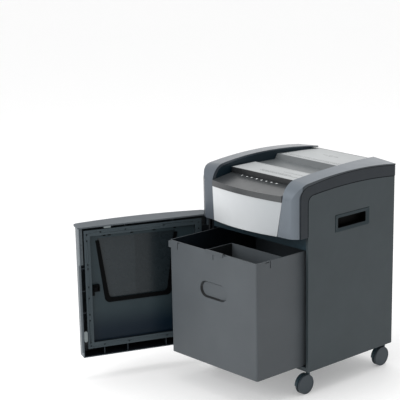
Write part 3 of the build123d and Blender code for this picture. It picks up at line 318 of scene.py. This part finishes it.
MATERIALS = {
    "slate_laminate": moulded(
        # side panels, with painted shade on their faces inside the bay
        "slate_panel", panel_tone, 0.5, 1500, 0.04, zones=((inside_box, bay, shade(6, 18, 27)),)
    ),
    "teal_plastic": moulded("teal_bar", shade(30, 46, 54), 0.35, spec=0.5),
    "black_plastic": moulded("black_moulding", shade(4, 5, 6), 0.5, spec=0.05),
    "dark_plastic": moulded("dark_moulding", shade(34, 40, 46), 0.45, 2400, 0.05, spec=0.25),
    "grey_metallic": moulded(
        "grey_metallic_paint",
        shade(96, 104, 112),
        0.34,
        5200,
        0.05,
        0.4,
        0.4,
        0.25,
        # rail tones: painted shade towards the left, darker outer side faces
        zones=rail_tones_with_shade,
    ),
    "silver_satin": moulded(
        "silver_satin_paint",
        shade(204, 207, 209),
        0.36,
        6000,
        0.04,
        0.25,
        0.4,
        0.2,
        # painted shade: the silver panel darkens towards the right
        zones=((gradient, (RIGHT, -0.12, 0.15), shade(160, 164, 167)),),
    ),
    "control_black": moulded("control_moulding", shade(48, 51, 53), 0.3, 2000, 0.05, spec=0.5, coat=0.25),
    "label_sheet": moulded("label_foil", shade(166, 169, 170), 0.4, 3000, 0.02),
    "lamp_white": moulded("key_caps", shade(48, 51, 53), 0.36),
    "bin_plastic": moulded(
        "bin_moulding",
        shade(70, 75, 79),
        0.5,
        1800,
        0.06,
        # the bin's tone, with painted shade inside it and in its grip pocket
        zones=bin_painted_shade,
    ),
    "pan_steel": moulded(
        "teal_painted_steel",
        pan_tone,
        0.42,
        4000,
        0.03,
        spec=0.2,
        # painted shade: darker towards the bottom of the pan and on its recess walls; lighter on the flange
        zones=(
            (gradient, (UP, pan_low[2] + 0.13, pan_low[2] + 0.04), shade(0, 20, 34)),
            (slab, (OUT, out_0 - 0.0012, out_0 + 0.0078), shade(14, 20, 24)),
            (slab, (OUT, out_0 - 0.004, out_0 - 0.0012), shade(58, 68, 73)),
        ),
    ),
    "smoked_glass": smoked(
        "smoked_pane",
        shade(30, 38, 42),
        0.985,
        ((gradient, (ALONG, along_0 + 0.237, along_0 + 0.239), shade(36, 44, 48)),),
    ),
    "rubber_grey": moulded("bumper_rubber", shade(120, 128, 130), 0.6, 1500, 0.08),
    "hinge_black": moulded("hinge_paint", shade(16, 19, 23), 0.4, 1500, 0.05, spec=0.2),
    "zinc_steel": moulded("zinc_plate", (0.42, 0.43, 0.44), 0.35, 900, 0.05, 0.9),
    "tool_steel": moulded("ground_steel", (0.3, 0.3, 0.31), 0.28, 700, 0.06, 1.0),
    "gear_nylon": moulded("gear_nylon", (0.62, 0.6, 0.52), 0.45),
    "motor_paint": moulded("motor_paint", (0.05, 0.05, 0.055), 0.5),
    "capacitor_white": moulded("capacitor_shell", (0.6, 0.6, 0.58), 0.35),
    "comb_black": moulded("comb_moulding", (0.012, 0.012, 0.013), 0.5),
    "board_green": moulded("board_resist", (0.01, 0.09, 0.03), 0.35),
    "rocker_red": moulded("rocker_cap", (0.35, 0.01, 0.012), 0.3),
    "caster_grey": moulded("caster_moulding", shade(44, 62, 70), 0.45),
    "wheel_grey": moulded("caster_wheel", shade(58, 66, 72), 0.5, 1200, 0.06),
}


def paint(obj, material):
    """Gives every slot of obj one material."""
    obj.data.materials.clear()
    obj.data.materials.append(material)


# ---------------------------------------------------------------- edges of the CAD nodes
EDGES = {
    "bin_shell": 0.7,
    "bin_compartment": 0.5,
    "side_panel_left": 0.8,
    "side_panel_right": 0.8,
    "base_plate": 0.5,
    "back_panel": 0.5,
    "front_bar": 0.5,
    "head_side_left": 0.8,
    "head_side_right": 0.8,
    "head_rail_left": 1.2,
    "head_rail_right": 1.2,
    "front_panel": 0.5,
    "control_panel": 0.7,
    "front_deck": 0.7,
    "rear_hood": 0.7,
    "rear_cover": 0.5,
    "door_shell": 0.6,
    "door_frame": 0.6,
    "door_pan": 0.5,
    "window_gasket": 0.4,
    "door_catch": 0.4,
    "door_bumpers": 0.4,
    "handle_cups": 0.6,
    "hinge_brackets": 0.3,
    "door_knuckles": 0.3,
}
for node, width in EDGES.items():
    weld = nodes[node].modifiers.new("weld", "WELD")
    weld.merge_threshold = 0.00001
    bevel = nodes[node].modifiers.new("edges", "BEVEL")
    bevel.width = width * MM
    bevel.segments = 2
    bevel.limit_method = "ANGLE"
    bevel.angle_limit = math.radians(30)
    bevel.use_clamp_overlap = True
    bevel.harden_normals = False
    weighted = nodes[node].modifiers.new("normals", "WEIGHTED_NORMAL")
    weighted.keep_sharp = False

for node, obj in nodes.items():
    paint(obj, MATERIALS[slot_of[node]])
# Painted shade: the handle cups are black inside their pockets, within 0.2027 m of the middle.
cup_inside = ((-0.2027, -1, 0), (0.2027, 1, 1))
cup = moulded(
    "cup_moulding", panel_tone, 0.6, 1500, 0.04, spec=0.1, zones=((inside_box, cup_inside, (0, 0, 0)),)
)
paint(nodes["handle_cups"], cup)
deck_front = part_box("front_deck")[0][1]
deck = moulded(
    "deck_moulding",
    deck_tone,
    0.34,
    2000,
    0.05,
    spec=0.5,
    # painted shade: the deck's front wall is dark
    zones=((slab, (FRONT, -deck_front - 0.0005, 1), shade(26, 28, 30)),),
)
paint(nodes["front_deck"], deck)
paint(nodes["rear_hood"], deck)
paint(nodes["head_inner_walls"], moulded("teal_wall", shade(14, 33, 43), 0.45, 2000, 0.04))
paint(nodes["rear_cover"], moulded("rear_moulding", shade(88, 93, 97), 0.45, 2000, 0.04))
door_paint = moulded("door_moulding", shade(46, 52, 57), 0.42, 2400, 0.05, zones=door_zones)
# Painted shade: the door frame is near-black but for its grey edges, for the shade in its channels.
shaded_door_frame_paint = moulded("shaded_door_frame", shade(7, 13, 19), 0.5, 2400, 0.05, spec=0.2, zones=door_zones)
paint(nodes["door_shell"], door_paint)
paint(nodes["door_frame"], shaded_door_frame_paint)
box_low, box_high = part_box("bin_compartment")
box_inside = (
    (box_low[0] + 0.0015, box_low[1] + 0.003, box_low[2]),
    (box_high[0] - 0.0015, box_high[1] - 0.0015, box_high[2] + 0.01),
)
# Painted shade: the compartment's inner faces that face +X are near-black.
box_painted_shade = ((all_of, ((inside_box, box_inside), (facing, (RIGHT,))), shade(4, 7, 10)),)
box_paint = moulded("compartment_moulding", shade(66, 71, 75), 0.5, 1800, 0.06, zones=box_painted_shade)
paint(nodes["bin_compartment"], box_paint)

# ---------------------------------------------------------------- printed marks, dark joints, painted shadow lines and small trim
def plane(origin, right, up):
    """Matrix whose local x and y run along two directions of a surface, and z out of it."""
    x = Vector(right).normalized()
    z = x.cross(Vector(up)).normalized()
    y = z.cross(x)
    matrix = Matrix((x, y, z)).transposed().to_4x4()
    matrix.translation = Vector(origin)
    return matrix


def bar(u, v, width, height, slant=0.0):
    """Corners of a bar, in millimetres on its surface."""
    return [
        (u - width / 2 - slant, v - height / 2),
        (u + width / 2 - slant, v - height / 2),
        (u + width / 2 + slant, v + height / 2),
        (u - width / 2 + slant, v + height / 2),
    ]


def ring(u, v, radius, thickness, start=0.0, end=360.0, steps=20):
    """Flat arc made of short quads."""
    loops = []
    for step in range(steps):
        a = math.radians(start + (end - start) * step / steps)
        b = math.radians(start + (end - start) * (step + 1) / steps)
        inner = radius - thickness
        loops.append(
            [
                (u + radius * math.cos(a), v + radius * math.sin(a)),
                (u + radius * math.cos(b), v + radius * math.sin(b)),
                (u + inner * math.cos(b), v + inner * math.sin(b)),
                (u + inner * math.cos(a), v + inner * math.sin(a)),
            ]
        )
    return loops


def marks(name, loops, matrix, material, body, lift=0.05, thick=0.06):
    """Thin printed or moulded shapes lying on a surface, as one piece."""
    work = bmesh.new()
    for loop in loops:
        low = [work.verts.new(matrix @ Vector((u * MM, v * MM, lift * MM))) for u, v in loop]
        high = [work.verts.new(matrix @ Vector((u * MM, v * MM, (lift + thick) * MM))) for u, v in loop]
        work.faces.new(reversed(low))
        work.faces.new(high)
        for i in range(len(loop)):
            k = (i + 1) % len(loop)
            work.faces.new((low[i], low[k], high[k], high[i]))
    bmesh.ops.recalc_face_normals(work, faces=work.faces)
    mesh = bpy.data.meshes.new(name)
    work.to_mesh(mesh)
    work.free()
    piece = bpy.data.objects.new(name, mesh)
    bpy.context.scene.collection.objects.link(piece)
    paint(piece, material)
    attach(piece, body)
    return piece


key_ink = moulded("key_ink", shade(232, 235, 237), 0.5, 3000, 0.02)
label_ink = moulded("label_ink", shade(58, 61, 63), 0.5, 3000, 0.02)
# Near-black line colour for the head's real seams and for the painted shadow line along each handle's frame.
seam_and_shadow_ink = moulded("seam_and_shadow_line", shade(10, 14, 18), 0.6, 1500, 0.03, spec=0.05)
key_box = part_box("power_button")
tilt = (0, 1, 0.15)
key_top = key_box[1][2] - 0.0042 * 0.15


def on_key(node):
    """Surface plane in the middle of a key's or lamp's top."""
    low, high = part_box(node)
    return plane(((low[0] + high[0]) / 2, (low[1] + high[1]) / 2, key_top), (1, 0, 0), tilt)


arrow_left = [[(-3.4, 0), (0, -3.0), (0, 3.0)], [(0, 0), (3.4, -3.0), (3.4, 3.0)]]
arrow_right = [[(3.4, 0), (0, 3.0), (0, -3.0)], [(0, 0), (-3.4, 3.0), (-3.4, -3.0)]]
power_mark = ring(0, -0.2, 3.3, 1.1, 125, 415) + [bar(0, 2.0, 1.2, 3.4)]
marks("mark_power", power_mark, on_key("power_button"), key_ink, "power_key", 0.25)
marks("mark_reverse", arrow_left, on_key("reverse_button"), key_ink, "reverse_key", 0.25)
marks("mark_forward", arrow_right, on_key("forward_button"), key_ink, "forward_key", 0.25)
lamp_low, lamp_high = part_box("indicator_lamps")
lamp_span = lamp_high[0] - lamp_low[0] - 0.0077
lamp_middle = ((lamp_low[0] + lamp_high[0]) / 2, (lamp_low[1] + lamp_high[1]) / 2, key_top)
lamp_plane = plane(lamp_middle, (1, 0, 0), tilt)
lamp_u = [(-0.5 + k / 4) * lamp_span / MM for k in range(5)]
lamp_marks = [bar(lamp_u[0], -0.6, 5.0, 5.2), bar(lamp_u[0], 3.0, 6.4, 1.0)]
lamp_marks += ring(lamp_u[1], 0, 3.4, 1.2) + [bar(lamp_u[1], 0, 1.2, 3.4)]
lamp_marks += [[(lamp_u[2] - 3.6, -2.9), (lamp_u[2] + 3.6, -2.9), (lamp_u[2], 3.4)]]
lamp_marks += [bar(lamp_u[3], k * 2.3, 6.4, 1.4) for k in (-1, 0, 1)]
lamp_marks += [bar(lamp_u[4] + side, 0, 1.8, 6.4) for side in (-2.2, 2.2)]
lamp_marks.append(bar(lamp_u[4], 0, 5.6, 1.4))
marks("mark_lamps", lamp_marks, lamp_plane, key_ink, "cabinet", 0.12)

deck_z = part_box("front_deck")[1][2] + 0.0003
front_marks = []
for row, v, left, right in ((0, -22, -50, 108), (1, -14, -50, 70), (2, 8, 20, 96)):
    u = left
    step = 0
    while u < right:
        width = (5.5, 9.0, 3.6, 7.2, 4.6)[(step + row) % 5]
        front_marks.append(bar(u + width / 2, v, width, 2.6 - 0.4 * row))
        u += width + 2.2
        step += 1
front_marks.append(bar(0, 38.5, 250, 0.5))
deck_plane = plane((0, -0.108, deck_z), (1, 0, 0), (0, 1, 0))
marks("print_front", front_marks, deck_plane, label_ink, "cabinet")
hood_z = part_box("rear_hood")[1][2]
HOOD_FALL, HOOD_RUN = 2.5, 154.8  # millimetres: how far the hood's top falls over its depth
drop = HOOD_FALL / HOOD_RUN
hood_plane = plane((0, 0.106, hood_z - 0.075 * drop + 0.0003), (1, 0, 0), (0, 1, -drop))
rear_marks = [bar(0, -50, 236, 0.5), bar(0, -62, 236, 0.5)]
rear_marks += [bar(-100 + 8.0 * k, -56, (4.0, 6.4, 3.2)[k % 3], 1.8) for k in range(25)]
rear_marks += ring(0, 16, 6, 1.8) + [bar(-22, 16, 18, 2.2), bar(22, 16, 18, 2.2)]
marks("print_rear", rear_marks, hood_plane, label_ink, "cabinet")

# painted shadow line along the top and the front of each handle's frame, standing for the shade of its step
cup_low, cup_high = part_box("handle_cups")
right_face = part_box("side_panel_right")[1][0]
left_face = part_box("side_panel_left")[0][0]
for side, face in (("right", right_face), ("left", left_face)):
    outward = 1 if side == "right" else -1
    middle = (face, (cup_low[1] + cup_high[1]) / 2, (cup_low[2] + cup_high[2]) / 2)
    wall = plane(middle, (0, outward, 0), (0, 0, 1))
    front = -outward * 73.2
    handle_shadow_bars = [bar(0, 25.8, 146.8, 1.6), bar(front, 0, 1.6, 51.2)]
    marks("handle_painted_shadow_" + side, handle_shadow_bars, wall, seam_and_shadow_ink, "cabinet", 0.02, 0.12)


def arc(first, middle, last, steps=16):
    """Points of the circle arc through three points."""
    (ax, ay), (bx, by), (cx, cy) = first, middle, last
    d = 2 * (ax * (by - cy) + bx * (cy - ay) + cx * (ay - by))
    a2, b2, c2 = ax * ax + ay * ay, bx * bx + by * by, cx * cx + cy * cy
    ux = (a2 * (by - cy) + b2 * (cy - ay) + c2 * (ay - by)) / d
    uy = (a2 * (cx - bx) + b2 * (ax - cx) + c2 * (bx - ax)) / d
    radius = math.hypot(ax - ux, ay - uy)
    start = math.atan2(ay - uy, ax - ux)
    sweep = (math.atan2(cy - uy, cx - ux) - start + math.pi) % (2 * math.pi) - math.pi
    turns = [start + sweep * k / steps for k in range(steps + 1)]
    return [(ux + radius * math.cos(turn), uy + radius * math.sin(turn)) for turn in turns]


def ribbon(points, width):
    """Quads of a line of some width along points."""
    loops = []
    for (ax, ay), (bx, by) in zip(points, points[1:]):
        length = math.hypot(bx - ax, by - ay)
        nx, ny = -(by - ay) / length * width / 2, (bx - ax) / length * width / 2
        loops.append([(ax + nx, ay + ny), (ax - nx, ay - ny), (bx - nx, by - ny), (bx + nx, by + ny)])
    return loops


# dark joints between the side panel, the dark cheek and the grey rail, on each side
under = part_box("base_plate")[0][2] / MM
panel_joint = [(-186.3, 412)] + arc((-186.3, 511), (-179.2, 527.1), (-163, 533.1), 8)
panel_joint += arc((-163, 533.1), (0, 541.1), (186, 531.1))[1:]
rail_joint = [(-216.8, 412)] + arc((-216.8, 528), (-207.3, 549.2), (-178, 561.3), 8)
rail_joint += arc((-178, 561.3), (0, 575.8), (186, 563.8))[1:]
for side, outward in (("right", 1), ("left", -1)):
    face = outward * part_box("side_panel_right")[1][0]
    wall = plane((face, 0, 0), (0, outward, 0), (0, 0, 1))
    loops = ribbon(panel_joint, 1.7) + ribbon(rail_joint, 1.4)
    joints = [[(outward * y, z + under) for y, z in loop] for loop in loops]
    marks("head_joint_" + side, joints, wall, seam_and_shadow_ink, "cabinet", -0.25, 0.4)

# ---------------------------------------------------------------- camera, floor and lights
camera_data = bpy.data.cameras.new("camera")
camera_data.sensor_width = 36
camera_data.lens = 126.26
camera_data.shift_x = -0.2367
camera_data.shift_y = 0.1329
camera_data.clip_start = 0.1
camera_data.clip_end = 60
camera = bpy.data.objects.new("camera", camera_data)
camera.location = (2.8881, -2.9489, 1.5596)
camera.rotation_euler = (math.radians(73.78), 0, math.radians(44.74))
bpy.context.scene.collection.objects.link(camera)
bpy.context.scene.camera = camera


def make_floor():
    """Large pale floor with a faint mottle."""
    mesh = bpy.data.meshes.new("floor")
    work = bmesh.new()
    bmesh.ops.create_grid(work, x_segments=8, y_segments=8, size=12)
    work.to_mesh(mesh)
    work.free()
    floor = bpy.data.objects.new("floor", mesh)
    bpy.context.scene.collection.objects.link(floor)
    paint(floor, moulded("floor_paint", (0.78, 0.78, 0.78), 0.6, 60, 0.0, spec=0.1, mottle=0.008))
    shader = floor.data.materials[0].node_tree.nodes["Principled BSDF"]
    shader.inputs["Emission Color"].default_value = (1, 1, 1, 1)
    shader.inputs["Emission Strength"].default_value = 0.25


def area_light(name, place, target, size, power):
    """A soft square light aimed at a point."""
    data = bpy.data.lights.new(name, "AREA")
    data.size = size
    data.energy = power
    light = bpy.data.objects.new(name, data)
    light.location = place
    light.rotation_mode = "QUATERNION"
    light.rotation_quaternion = (Vector(target) - Vector(place)).to_track_quat("-Z", "Y")
    bpy.context.scene.collection.objects.link(light)


make_floor()
world = bpy.data.worlds.new("studio")
world.use_nodes = True
sky = world.node_tree
sky_coords = sky.nodes.new("ShaderNodeTexCoord")
sky_dot = sky.nodes.new("ShaderNodeVectorMath")
sky_dot.operation = "DOT_PRODUCT"
sky_dot.inputs[1].default_value = RIGHT
sky.links.new(sky_coords.outputs["Generated"], sky_dot.inputs[0])
sky_tone = ramp(sky.nodes, sky.links, sky_dot.outputs["Value"], (1, 1, 1), (0.5, 0.5, 0.5), 0.0, 1.0)
sky.links.new(sky_tone, sky.nodes["Background"].inputs["Color"])
world.node_tree.nodes["Background"].inputs["Strength"].default_value = 1.0
bpy.context.scene.world = world
bpy.context.scene.view_settings.view_transform = "Standard"
area_light("key", (-0.8, -3.4, 1.9), (0, -0.1, 0.35), 2.0, 58)
area_light("top", (0, 0.4, 3.2), (0, 0, 0.4), 2.4, 25)
